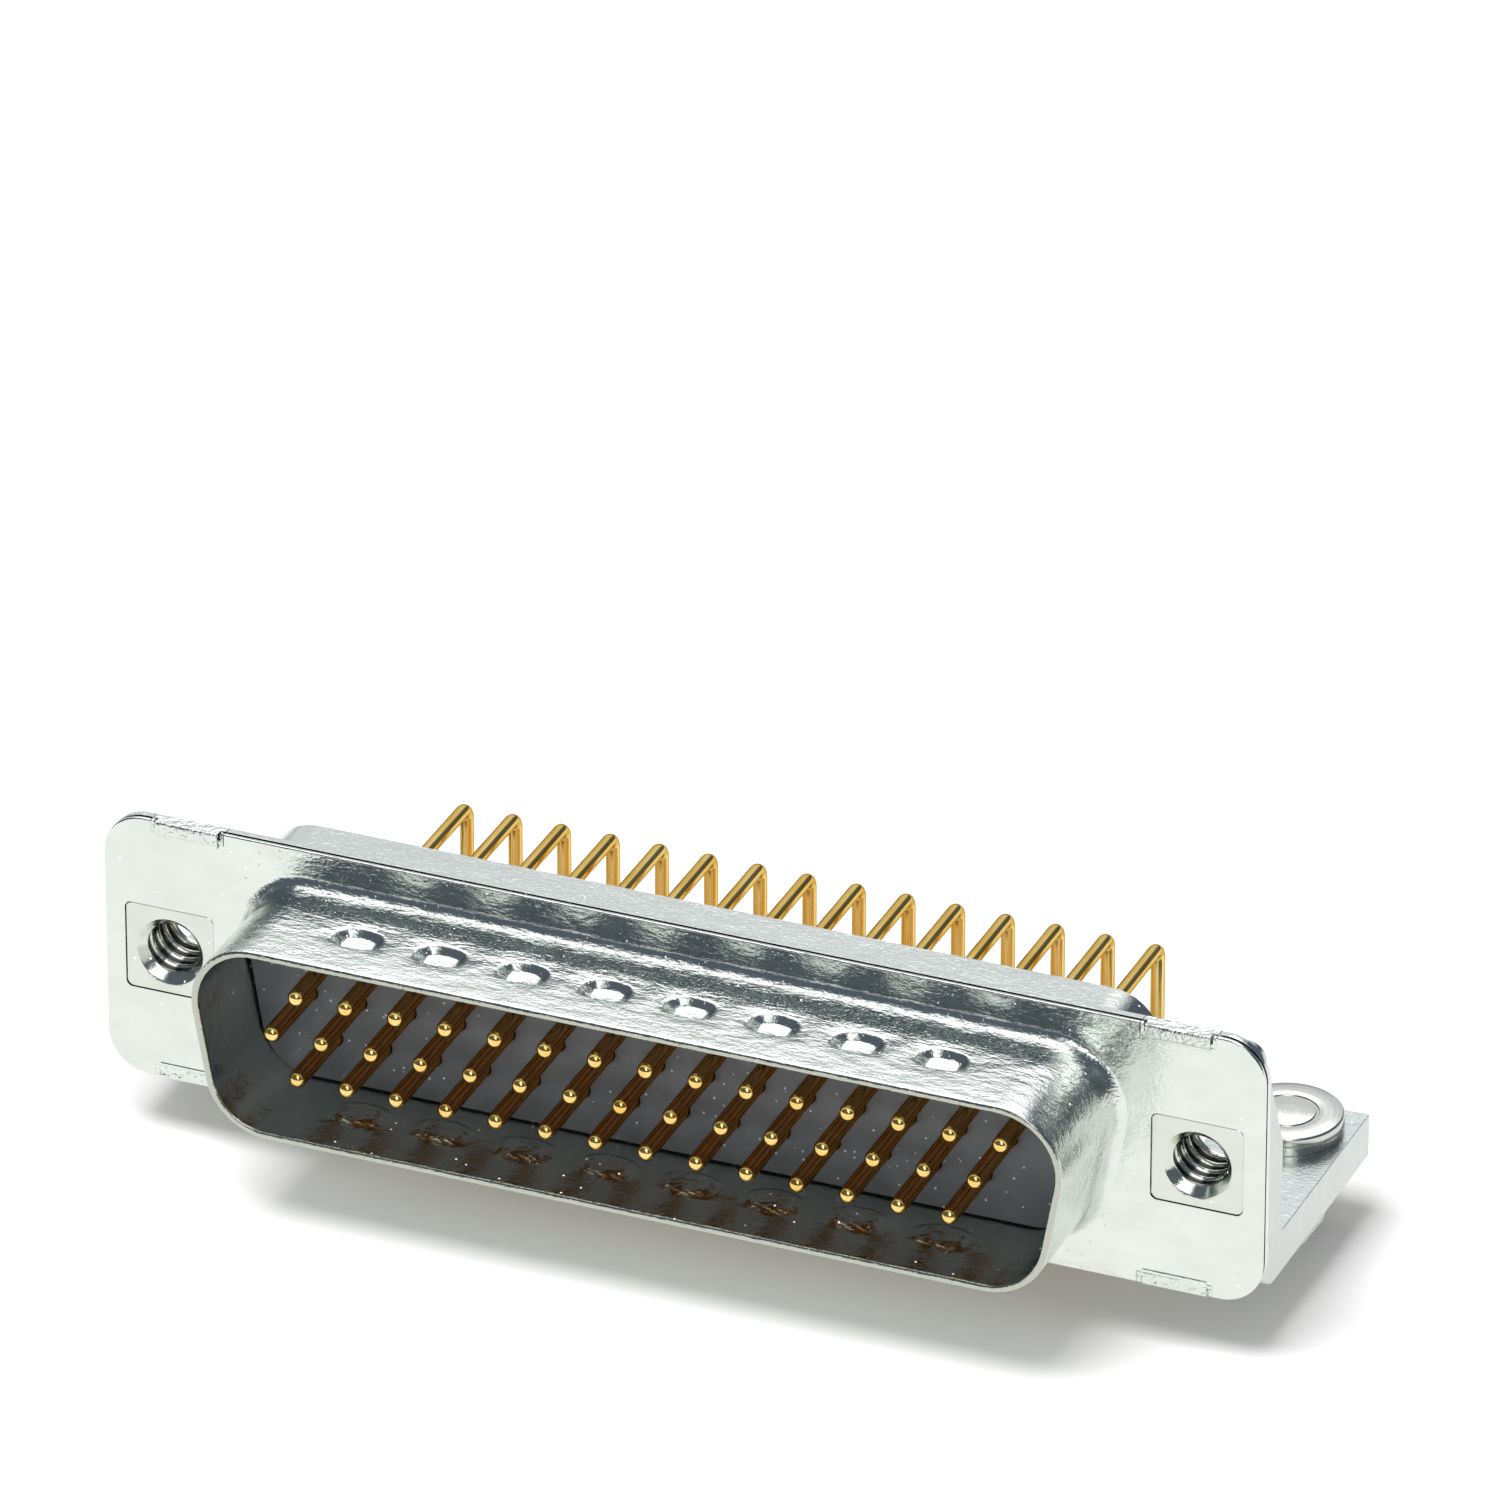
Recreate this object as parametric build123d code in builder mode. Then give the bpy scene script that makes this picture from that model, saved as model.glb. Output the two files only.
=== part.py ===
from build123d import *
import os
from math import cos, radians, sin, tan

# High-density male D-sub connector, 44 contacts, right-angle board mount.
# Frame: X along the connector, Y backwards (the mouth opens towards -Y), Z up.
# Origin: on the board, midway between the two board posts. Millimetres.

# Place on the board
AXIS_HEIGHT = 6.0          # centre line of the mouth above the board
FACE_FORWARD = 10.8        # flange face in front of the board posts

# Contacts
CONTACT_PITCH = 2.29
ROW_SPACING = 1.98
ROW_SHIFT = CONTACT_PITCH / 4              # rows stand half a pitch apart sideways
TOP_COUNT = 15
MIDDLE_COUNT = 15
BOTTOM_COUNT = 14
PIN_DIAMETER = 0.76
PIN_FORWARD = 5.05         # tips before the flange face
PIN_TIP_CHAMFER = 0.2
TAIL_DIAMETER = 0.62
TAIL_BEND = 0.4            # corner cut off the tail's centre line, each way
TAIL_ROW_SPACING = 2.54    # rows of tails on the board
TAIL_LENGTH = 3.2          # tails below the board

# Mouth: the D tube's inside, at its widest
KEY_ANGLE = 10.0           # slant of the short sides of the D
MOUTH_END = 3.45           # beyond the end contacts of a centred row
MOUTH_MARGIN = 2.2         # above the top row and below the bottom row
MOUTH_WIDTH = (TOP_COUNT - 1) * CONTACT_PITCH + 2 * MOUTH_END
MOUTH_HEIGHT = 2 * ROW_SPACING + 2 * MOUTH_MARGIN
MOUTH_CORNER = 2.6
TUBE_LENGTH = 6.0
TUBE_ROOT = 0.6            # radius where the tube meets its plate
LIP_CHAMFER = 0.1

# Rear box, outside
SHEET = 0.32
BOX_END = 0.97             # wider than the mouth, at each end
BOX_MARGIN = 1.18          # higher than the mouth, above and below
BOX_WIDTH = MOUTH_WIDTH + 2 * BOX_END
BOX_HEIGHT = MOUTH_HEIGHT + 2 * BOX_MARGIN
BOX_CORNER = 2.3
BOX_DEPTH = 3.8            # back of the box behind the flange face
BOX_ROOT = 0.3             # radius where the box meets its plate

# Flange
THREAD_OFFSET = 4.04       # axis of a threaded insert beyond the mouth
FLANGE_END = 3.0           # flange beyond that axis
FLANGE_MARGIN = 0.915      # flange above and below the rear box
POST_SPACING = MOUTH_WIDTH + 2 * THREAD_OFFSET
FLANGE_WIDTH = POST_SPACING + 2 * FLANGE_END
FLANGE_HEIGHT = BOX_HEIGHT + 2 * FLANGE_MARGIN
FLANGE_CORNER = 1.9
WINDOW_CORNER = 0.3

# Pressed dimples along the tube
DIMPLE_COUNT = 8
DIMPLE_PITCH = 3.8
DIMPLE_LENGTH = 2.3
DIMPLE_WIDTH = 1.9
DIMPLE_CORNER = 0.8
DIMPLE_DEPTH = 0.35
DIMPLE_SETBACK = 3.0       # centre of the dimples behind the lip
DIMPLE_SLOPE = 45.0

# Crimp tabs
TAB_INSET = 0.92           # centre of a tab inwards of the insert's axis
TAB_WIDTH = 2.9
TAB_THICKNESS = 0.28
TAB_PROUD = 0.16           # folded end, pressed thinner, before the flange face
TAB_FOLD = 0.12            # radius along the front of the fold
TAB_LIP = 0.45             # how far the tab comes down in front of the flange
TAB_GAP = 0.06

# Insulators
NOSE_FORWARD = 1.2         # front of the insulator before the flange face
NOSE_GAP = 0.45            # between the insulator's nose and the tube
BASE_GAP = 0.05            # between the insulators and the rear box
SPLIT_DEPTH = 2.0          # where the two insulators meet, behind the flange face
BACK_RECESS = 0.15         # insulator's back inside the box
HOLE_GAP = 0.04            # round a contact in its hole

# Threaded inserts
INSERT_HEAD = 4.05
INSERT_GAP = 0.05          # round the head and the shank
SHANK_DIAMETER = 3.8
THREAD_DIAMETER = 2.4      # crests of the thread
MOUTH_SINK = 3.1           # countersink at the mouth of the thread
ROLL_DIAMETER = 4.8        # end of the shank, rolled over the bracket
ROLL_LENGTH = 0.6
ROLL_CHAMFER = 0.3

# Brackets
BRACKET_THICKNESS = 2.0
BRACKET_CLEARANCE = 0.22   # between a bracket and the rear box
BRACKET_WIDTH = 2 * (THREAD_OFFSET - BOX_END - BRACKET_CLEARANCE)
BRACKET_RISE = 4.9         # above the axis of the thread
BRACKET_LENGTH = 13.2      # end of the foot behind the flange face
BEND_OUTSIDE = 1.2
BEND_INSIDE = 0.3
TAPER_RISE = 0.4           # start of the taper above the axis of the thread
TAPER_ANGLE = 12.0
TOP_CORNER = 0.8

# Board posts
POST_DIAMETER = 3.4        # below the foot
POST_SHANK = 3.0           # in the foot
POST_GAP = 0.05            # round the shank
POST_LENGTH = 3.6          # below the board
POST_STRAIGHT = 2.2        # before the taper starts
POST_TIP_DIAMETER = 2.0
POST_TIP_CHAMFER = 0.35
HEAD_DIAMETER = 4.9
COLLAR_HEIGHT = 0.4
COLLAR_STEP = 0.08         # groove between the collar and the head
STEP_HEIGHT = 0.08
HEAD_HEIGHT = 0.85
HEAD_EDGE = 0.1            # broken edge of the head
RING_DIAMETER = 2.6        # ring pressed into the top of the head
RING_WIDTH = 0.16
RING_DEPTH = 0.08

# Derived places
FACE = -FACE_FORWARD
JOINT_PLANE = FACE + SHEET                 # the two plates meet here
FLANGE_BACK = FACE + 2 * SHEET
LIP = FACE - TUBE_LENGTH
NOSE = FACE - NOSE_FORWARD
SPLIT = FACE + SPLIT_DEPTH
BOX_BACK = FACE + BOX_DEPTH
INSULATOR_BACK = BOX_BACK - BACK_RECESS
UPRIGHT_BACK = FLANGE_BACK + BRACKET_THICKNESS
FOOT_END = FACE + BRACKET_LENGTH
SIDE = POST_SPACING / 2
TAB_SIDE = SIDE - TAB_INSET
BRACKET_TOP = AXIS_HEIGHT + BRACKET_RISE
TAPER_START = AXIS_HEIGHT + TAPER_RISE
PIN_HOLE = PIN_DIAMETER / 2 + HOLE_GAP
TAIL_HOLE = TAIL_DIAMETER / 2 + HOLE_GAP
SHANK_HOLE = SHANK_DIAMETER / 2 + INSERT_GAP
HEAD_TOP = BRACKET_THICKNESS + HEAD_HEIGHT
COLLAR_TOP = BRACKET_THICKNESS + COLLAR_HEIGHT
SIDES = {"left": -1, "right": 1}


def section(y):
    """Plane across the connector at y, facing the mouth, with Z up in it."""
    return Plane.XZ.offset(-y)


def keyed_outline(width, height, corner):
    """D outline with its wide side up, centred on the connector's centre line."""
    slant = radians(KEY_ANGLE)
    top = width / 2 - corner + corner * (1 + sin(slant)) / cos(slant)
    bottom = top - height * tan(slant)
    with BuildSketch() as outline:
        with BuildLine():
            Polyline(
                (-top, AXIS_HEIGHT + height / 2),
                (top, AXIS_HEIGHT + height / 2),
                (bottom, AXIS_HEIGHT - height / 2),
                (-bottom, AXIS_HEIGHT - height / 2),
                close=True,
            )
        make_face()
        fillet(outline.vertices(), corner)
    return outline.sketch


def contact_sites():
    """Place of each contact as (x, z, y of its tail), in the order of their numbers."""
    rows = (
        (TOP_COUNT, ROW_SHIFT, ROW_SPACING, TAIL_ROW_SPACING),
        (MIDDLE_COUNT, -ROW_SHIFT, 0.0, 0.0),
        (BOTTOM_COUNT, ROW_SHIFT, -ROW_SPACING, -TAIL_ROW_SPACING),
    )
    first = -(TOP_COUNT - 1) / 2 * CONTACT_PITCH
    sites = []
    for count, shift, level, tail_y in rows:
        for place in range(count):
            x = first + shift + place * CONTACT_PITCH
            sites.append((x, AXIS_HEIGHT + level, tail_y))
    return sites


os.makedirs("parts", exist_ok=True)

mouth = keyed_outline(MOUTH_WIDTH, MOUTH_HEIGHT, MOUTH_CORNER)
tube = keyed_outline(MOUTH_WIDTH + 2 * SHEET, MOUTH_HEIGHT + 2 * SHEET, MOUTH_CORNER + SHEET)
nose = keyed_outline(
    MOUTH_WIDTH - 2 * NOSE_GAP, MOUTH_HEIGHT - 2 * NOSE_GAP, MOUTH_CORNER - NOSE_GAP
)
box_outside = keyed_outline(BOX_WIDTH, BOX_HEIGHT, BOX_CORNER)
box_inside = keyed_outline(BOX_WIDTH - 2 * SHEET, BOX_HEIGHT - 2 * SHEET, BOX_CORNER - SHEET)
base = keyed_outline(
    BOX_WIDTH - 2 * (SHEET + BASE_GAP),
    BOX_HEIGHT - 2 * (SHEET + BASE_GAP),
    BOX_CORNER - SHEET - BASE_GAP,
)
sites = contact_sites()
hole_points = [(x, z) for x, z, tail_y in sites]
half_flange = FLANGE_HEIGHT / 2
tab_places = [(side * TAB_SIDE, end) for side in (-1, 1) for end in (-1, 1)]

# Front shell: flange plate drawn forward into the D tube
with BuildPart() as front_shell:
    with BuildSketch(section(JOINT_PLANE)):
        with Locations((0, AXIS_HEIGHT)):
            RectangleRounded(FLANGE_WIDTH, FLANGE_HEIGHT, FLANGE_CORNER)
    extrude(amount=SHEET)
    with BuildSketch(section(FACE)):
        add(tube)
    extrude(amount=TUBE_LENGTH)
    root = front_shell.faces().filter_by(Axis.Y).group_by(Axis.Y)[-2].sort_by(SortBy.AREA)[-1]
    fillet(root.inner_wires().edges(), TUBE_ROOT)
    with BuildSketch(section(JOINT_PLANE)):
        add(mouth)
    extrude(amount=SHEET + TUBE_LENGTH, mode=Mode.SUBTRACT)
    lip_edges = front_shell.faces().filter_by(Axis.Y).sort_by(Axis.Y)[0].edges()
    chamfer(lip_edges, LIP_CHAMFER)
    with BuildSketch(section(JOINT_PLANE)):
        with Locations((-SIDE, AXIS_HEIGHT), (SIDE, AXIS_HEIGHT)):
            window = INSERT_HEAD + 2 * INSERT_GAP
            RectangleRounded(window, window, WINDOW_CORNER)
    extrude(amount=SHEET, mode=Mode.SUBTRACT)
    with BuildSketch(section(JOINT_PLANE)):
        for x, end in tab_places:
            with Locations((x, AXIS_HEIGHT + end * half_flange)):
                Rectangle(TAB_WIDTH + 2 * TAB_GAP, 2 * (TAB_THICKNESS + TAB_GAP))
    extrude(amount=SHEET, mode=Mode.SUBTRACT)
    for end in (-1, 1):
        wall_outside = AXIS_HEIGHT + end * (MOUTH_HEIGHT / 2 + SHEET)
        wall_inside = AXIS_HEIGHT + end * MOUTH_HEIGHT / 2
        with BuildSketch(Plane.XY.offset(wall_inside)):
            with Locations((0, LIP + DIMPLE_SETBACK)):
                with GridLocations(DIMPLE_PITCH, 1, DIMPLE_COUNT, 1):
                    RectangleRounded(DIMPLE_LENGTH, DIMPLE_WIDTH, DIMPLE_CORNER)
        extrude(amount=-end * DIMPLE_DEPTH, taper=DIMPLE_SLOPE)
        with BuildSketch(Plane.XY.offset(wall_outside)):
            with Locations((0, LIP + DIMPLE_SETBACK)):
                with GridLocations(DIMPLE_PITCH, 1, DIMPLE_COUNT, 1):
                    RectangleRounded(DIMPLE_LENGTH, DIMPLE_WIDTH, DIMPLE_CORNER)
        extrude(amount=-end * DIMPLE_DEPTH, taper=DIMPLE_SLOPE, mode=Mode.SUBTRACT)
front_shell.part.label = "front_shell"
export_step(front_shell.part, "parts/front_shell.step")

# Rear shell: second plate drawn backwards into a box, with four folded crimp tabs
with BuildPart() as rear_shell:
    with BuildSketch(section(FLANGE_BACK)):
        with Locations((0, AXIS_HEIGHT)):
            RectangleRounded(FLANGE_WIDTH, FLANGE_HEIGHT, FLANGE_CORNER)
    extrude(amount=SHEET)
    with BuildSketch(section(BOX_BACK)):
        add(box_outside)
    extrude(amount=BOX_BACK - FLANGE_BACK)
    root = rear_shell.faces().filter_by(Axis.Y).group_by(Axis.Y)[-2].sort_by(SortBy.AREA)[-1]
    fillet(root.inner_wires().edges(), BOX_ROOT)
    with BuildSketch(section(BOX_BACK)):
        add(box_inside)
    extrude(amount=BOX_BACK - JOINT_PLANE, mode=Mode.SUBTRACT)
    with BuildSketch(section(FLANGE_BACK)):
        with Locations((-SIDE, AXIS_HEIGHT), (SIDE, AXIS_HEIGHT)):
            Circle(SHANK_HOLE)
    extrude(amount=SHEET, mode=Mode.SUBTRACT)
    for x, end in tab_places:
        edge = AXIS_HEIGHT + end * half_flange
        inner_edge = edge - end * TAB_THICKNESS
        with BuildSketch(Plane.YZ.offset(x - TAB_WIDTH / 2)):
            with BuildLine():
                Polyline(
                    (JOINT_PLANE, edge),
                    (FACE - TAB_PROUD, edge),
                    (FACE - TAB_PROUD, inner_edge - end * TAB_LIP),
                    (FACE, inner_edge - end * TAB_LIP),
                    (FACE, inner_edge),
                    (JOINT_PLANE, inner_edge),
                    close=True,
                )
            make_face()
        extrude(amount=TAB_WIDTH)
    fold_edges = rear_shell.edges().filter_by(Axis.X).group_by(Axis.Y)[0]
    fillet(fold_edges, TAB_FOLD)
rear_shell.part.label = "rear_shell"
export_step(rear_shell.part, "parts/rear_shell.step")

# Front insulator: nose in the tube, wider base trapped behind the front plate
with BuildPart() as front_insulator:
    with BuildSketch(section(JOINT_PLANE)):
        add(nose)
    extrude(amount=JOINT_PLANE - NOSE)
    with BuildSketch(section(SPLIT)):
        add(base)
    extrude(amount=SPLIT - JOINT_PLANE)
    with BuildSketch(section(SPLIT)):
        with Locations(*hole_points):
            Circle(PIN_HOLE)
    extrude(amount=SPLIT - NOSE, mode=Mode.SUBTRACT)
front_insulator.part.label = "front_insulator"
export_step(front_insulator.part, "parts/front_insulator.step")

# Rear insulator: closes the box, and the contacts' shoulders seat on its front
with BuildPart() as rear_insulator:
    with BuildSketch(section(INSULATOR_BACK)):
        add(base)
    extrude(amount=INSULATOR_BACK - SPLIT)
    with BuildSketch(section(INSULATOR_BACK)):
        with Locations(*hole_points):
            Circle(TAIL_HOLE)
    extrude(amount=INSULATOR_BACK - SPLIT, mode=Mode.SUBTRACT)
rear_insulator.part.label = "rear_insulator"
export_step(rear_insulator.part, "parts/rear_insulator.step")

# Contacts: turned pin with a narrowed tip, thinner tail bent down through the board
for number, (x, z, tail_y) in enumerate(sites, start=1):
    name = f"contact_{number:02d}"
    with BuildPart() as contact:
        with BuildSketch(section(SPLIT)):
            with Locations((x, z)):
                Circle(PIN_DIAMETER / 2)
        extrude(amount=SPLIT - FACE + PIN_FORWARD)
        chamfer(contact.faces().sort_by(Axis.Y)[0].edges(), PIN_TIP_CHAMFER)
        with BuildLine() as route:
            Polyline(
                (x, SPLIT, z),
                (x, tail_y - TAIL_BEND, z),
                (x, tail_y, z - TAIL_BEND),
                (x, tail_y, -TAIL_LENGTH),
            )
        with BuildSketch(section(SPLIT)):
            with Locations((x, z)):
                Circle(TAIL_DIAMETER / 2)
        sweep(path=route.line, transition=Transition.RIGHT)
    contact.part.label = name
    export_step(contact.part, f"parts/{name}.step")

# Threaded inserts: square head in the window, round shank rolled over behind the bracket
for hand, side in SIDES.items():
    name = f"threaded_insert_{hand}"
    center = (side * SIDE, AXIS_HEIGHT)
    with BuildPart() as insert:
        with BuildSketch(section(JOINT_PLANE)):
            with Locations(center):
                RectangleRounded(INSERT_HEAD, INSERT_HEAD, WINDOW_CORNER)
        extrude(amount=SHEET)
        with BuildSketch(section(UPRIGHT_BACK)):
            with Locations(center):
                Circle(SHANK_DIAMETER / 2)
        extrude(amount=UPRIGHT_BACK - JOINT_PLANE)
        with BuildSketch(section(UPRIGHT_BACK + ROLL_LENGTH)):
            with Locations(center):
                Circle(ROLL_DIAMETER / 2)
        extrude(amount=ROLL_LENGTH)
        chamfer(insert.faces().sort_by(Axis.Y)[-1].edges(), ROLL_CHAMFER)
        with BuildSketch(section(UPRIGHT_BACK + ROLL_LENGTH)):
            with Locations(center):
                Circle(THREAD_DIAMETER / 2)
        extrude(amount=UPRIGHT_BACK + ROLL_LENGTH - FACE, mode=Mode.SUBTRACT)
        front_rim = insert.edges().filter_by(GeomType.CIRCLE).sort_by(Axis.Y)[0]
        chamfer(front_rim, (MOUTH_SINK - THREAD_DIAMETER) / 2)
    insert.part.label = name
    export_step(insert.part, f"parts/{name}.step")

# Brackets: upright behind the flange, foot back over the board
for hand, side in SIDES.items():
    name = f"bracket_{hand}"
    inner_side = side * SIDE - BRACKET_WIDTH / 2
    with BuildPart() as bracket:
        with BuildSketch(Plane.YZ.offset(inner_side)):
            with BuildLine():
                Polyline(
                    (FLANGE_BACK, 0),
                    (FOOT_END, 0),
                    (FOOT_END, BRACKET_THICKNESS),
                    (UPRIGHT_BACK, BRACKET_THICKNESS),
                    (UPRIGHT_BACK, BRACKET_TOP),
                    (FLANGE_BACK, BRACKET_TOP),
                    close=True,
                )
            make_face()
        extrude(amount=BRACKET_WIDTH)
        along = bracket.edges().filter_by(Axis.X)
        fillet(along.group_by(Axis.Z)[0].sort_by(Axis.Y)[0], BEND_OUTSIDE)
        inner_bend = (inner_side, UPRIGHT_BACK, BRACKET_THICKNESS)
        along = bracket.edges().filter_by(Axis.X)
        fillet(along.sort_by_distance(inner_bend)[0], BEND_INSIDE)
        rise = BRACKET_TOP - TAPER_START
        narrowing = rise * tan(radians(TAPER_ANGLE))
        with BuildSketch(section(UPRIGHT_BACK)):
            for flank in (-1, 1):
                edge_x = side * SIDE + flank * BRACKET_WIDTH / 2
                with BuildLine():
                    Polyline(
                        (edge_x, TAPER_START),
                        (edge_x - flank * narrowing, BRACKET_TOP),
                        (edge_x, BRACKET_TOP),
                        close=True,
                    )
                make_face()
        extrude(amount=BRACKET_THICKNESS, mode=Mode.SUBTRACT)
        top_corners = bracket.edges().filter_by(Axis.Y).group_by(Axis.Z)[-1]
        fillet(top_corners, TOP_CORNER)
        with BuildSketch(section(UPRIGHT_BACK)):
            with Locations((side * SIDE, AXIS_HEIGHT)):
                Circle(SHANK_HOLE)
        extrude(amount=BRACKET_THICKNESS, mode=Mode.SUBTRACT)
        with BuildSketch(Plane.XY):
            with Locations((side * SIDE, 0)):
                Circle(POST_SHANK / 2 + POST_GAP)
        extrude(amount=BRACKET_THICKNESS, mode=Mode.SUBTRACT)
        underside = bracket.edges().filter_by(GeomType.CIRCLE).group_by(Axis.Z)[0]
        chamfer(underside, (POST_DIAMETER - POST_SHANK) / 2)
    bracket.part.label = name
    export_step(bracket.part, f"parts/{name}.step")

# Board posts: head and collar on the foot, shank in it, shoulder under it, tapered end
for hand, side in SIDES.items():
    name = f"board_post_{hand}"
    with BuildPart() as post:
        with BuildSketch(Plane.XZ):
            with BuildLine():
                Polyline(
                    (0, -POST_LENGTH),
                    (POST_TIP_DIAMETER / 2, -POST_LENGTH),
                    (POST_DIAMETER / 2, -POST_STRAIGHT),
                    (POST_DIAMETER / 2, 0),
                    (POST_SHANK / 2, 0),
                    (POST_SHANK / 2, BRACKET_THICKNESS),
                    (HEAD_DIAMETER / 2, BRACKET_THICKNESS),
                    (HEAD_DIAMETER / 2, COLLAR_TOP),
                    (HEAD_DIAMETER / 2 - COLLAR_STEP, COLLAR_TOP),
                    (HEAD_DIAMETER / 2 - COLLAR_STEP, COLLAR_TOP + STEP_HEIGHT),
                    (HEAD_DIAMETER / 2, COLLAR_TOP + STEP_HEIGHT),
                    (HEAD_DIAMETER / 2, HEAD_TOP),
                    (0, HEAD_TOP),
                    close=True,
                )
            make_face()
        revolve(axis=Axis.Z)
        with BuildSketch(Plane.XY.offset(HEAD_TOP)):
            Circle(RING_DIAMETER / 2 + RING_WIDTH / 2)
            Circle(RING_DIAMETER / 2 - RING_WIDTH / 2, mode=Mode.SUBTRACT)
        extrude(amount=-RING_DEPTH, mode=Mode.SUBTRACT)
        rim = post.edges().filter_by(GeomType.CIRCLE).group_by(Axis.Z)[-1].sort_by(SortBy.LENGTH)[-1]
        chamfer(rim, HEAD_EDGE)
        tip = post.edges().filter_by(GeomType.CIRCLE).sort_by(Axis.Z)[0]
        chamfer(tip, POST_TIP_CHAMFER)
    placed = post.part.moved(Location((side * SIDE, 0, 0)))
    placed.label = name
    export_step(placed, f"parts/{name}.step")
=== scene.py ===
import math

import bmesh
import bpy
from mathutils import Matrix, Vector


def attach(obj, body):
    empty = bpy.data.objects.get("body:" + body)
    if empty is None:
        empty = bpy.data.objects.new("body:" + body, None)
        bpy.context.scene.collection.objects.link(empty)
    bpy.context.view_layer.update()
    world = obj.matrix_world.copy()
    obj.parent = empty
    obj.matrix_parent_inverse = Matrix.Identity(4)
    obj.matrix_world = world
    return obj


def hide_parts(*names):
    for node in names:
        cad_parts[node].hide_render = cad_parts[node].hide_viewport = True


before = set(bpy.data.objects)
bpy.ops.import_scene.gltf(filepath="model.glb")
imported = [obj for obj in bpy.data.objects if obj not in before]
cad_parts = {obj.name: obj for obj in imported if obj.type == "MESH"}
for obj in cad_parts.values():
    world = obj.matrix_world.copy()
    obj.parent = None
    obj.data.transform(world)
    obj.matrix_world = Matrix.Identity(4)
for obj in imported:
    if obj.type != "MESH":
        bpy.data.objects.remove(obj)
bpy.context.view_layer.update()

# Looks of a right-angle high-density D-sub connector.
# Frame: X along the connector, mouth towards -Y, Z up off the board. Sizes are in millimetres
# here and become metres in the meshes.
MM = 0.001

AXIS_HEIGHT = 6.0
FACE = -10.8
SHEET = 0.32
LIP = -16.8
NOSE = -12.0
SPLIT = -8.8
PIN_TIP = -15.85
SIDE = 23.52
PITCH = 2.29
ROW_SPACING = 1.98
PEG_END = -3.6
TOLERANCE = 0.001


# Meshes

def add_object(name, data):
    obj = bpy.data.objects.new(name, data)
    bpy.context.scene.collection.objects.link(obj)
    return obj


def ring_faces(first, rings, count, ends):
    """Faces between rings of count points, numbered from first; ends are closed, open or joined."""
    faces = []
    for r in range(rings if ends == "joined" else rings - 1):
        a, b = first + r * count, first + (r + 1) % rings * count
        for i in range(count):
            j = (i + 1) % count
            faces.append((a + i, a + j, b + j, b + i))
    if ends == "closed":
        last = first + (rings - 1) * count
        faces.append(tuple(first + i for i in range(count - 1, -1, -1)))
        faces.append(tuple(last + i for i in range(count)))
    return faces


def grid_object(name, rings, ends="closed"):
    """Object from rings of equally many points (mm), each joined to the next."""
    verts = [Vector(point) * MM for ring in rings for point in ring]
    mesh = bpy.data.meshes.new(name)
    mesh.from_pydata(verts, [], ring_faces(0, len(rings), len(rings[0]), ends))
    mesh.update()
    bm = bmesh.new()
    bm.from_mesh(mesh)
    bmesh.ops.recalc_face_normals(bm, faces=bm.faces)
    bm.to_mesh(mesh)
    bm.free()
    for poly in mesh.polygons:
        poly.use_smooth = True
    return add_object(name, mesh)


def round_ring(x, y, z, radius, count):
    """Circle about an axis that runs along Y."""
    return [(x + radius * math.cos(t), y, z + radius * math.sin(t))
            for t in (2 * math.pi * i / count for i in range(count))]


def apply_modifiers(obj):
    graph = bpy.context.evaluated_depsgraph_get()
    graph.update()
    mesh = bpy.data.meshes.new_from_object(obj.evaluated_get(graph), depsgraph=graph)
    old = obj.data
    obj.modifiers.clear()
    obj.data = mesh
    bpy.data.meshes.remove(old)


def set_sharp(obj, degrees):
    """Edges that turn by more than the given angle are shaded sharp."""
    mesh = obj.data
    bm = bmesh.new()
    bm.from_mesh(mesh)
    for edge in bm.edges:
        if len(edge.link_faces) == 2:
            edge.smooth = edge.calc_face_angle(0.0) < math.radians(degrees)
    bm.to_mesh(mesh)
    bm.free()


def softened(node, name, width, segments=2, shape=None, crisp=None):
    """Copy of a CAD node with slightly rounded edges. shape changes its mesh first, and crisp
    names edges that keep nearly all their sharpness."""
    weld, flat_angle, edge_angle = 0.002 * MM, math.radians(0.5), math.radians(28.0)
    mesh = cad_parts[node].data.copy()
    mesh.name = name
    bm = bmesh.new()
    bm.from_mesh(mesh)
    bmesh.ops.remove_doubles(bm, verts=bm.verts, dist=weld)
    if shape:
        shape(bm)
    bmesh.ops.dissolve_limit(bm, angle_limit=flat_angle, verts=bm.verts, edges=bm.edges)
    weight = bm.edges.layers.float.new("bevel_weight_edge")
    for edge in bm.edges:
        if len(edge.link_faces) == 2 and edge.calc_face_angle(0.0) > edge_angle:
            edge[weight] = 0.2 if crisp and crisp(edge) else 1.0
    bm.to_mesh(mesh)
    bm.free()
    if "custom_normal" in mesh.attributes:
        mesh.attributes.remove(mesh.attributes["custom_normal"])
    for poly in mesh.polygons:
        poly.use_smooth = True
    obj = add_object(name, mesh)
    bevel = obj.modifiers.new("edges", "BEVEL")
    bevel.width = width * MM
    bevel.segments = segments
    bevel.limit_method = "WEIGHT"
    bevel.use_clamp_overlap = True
    weighted = obj.modifiers.new("normals", "WEIGHTED_NORMAL")
    weighted.keep_sharp = False
    weighted.weight = 80
    apply_modifiers(obj)
    return obj


# Shader nodes

def rgba(color):
    return (*color, 1.0)


def grey(value):
    return (value, value, value)


def scaled(color, factor):
    return tuple(channel * factor for channel in color)


def calc(tree, operation, *values):
    """Math node; each value is a number or a socket."""
    node = tree.nodes.new("ShaderNodeMath")
    node.operation = operation
    for socket, value in zip(node.inputs, values):
        if isinstance(value, float):
            socket.default_value = value
        else:
            tree.links.new(value, socket)
    return node.outputs[0]


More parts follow.
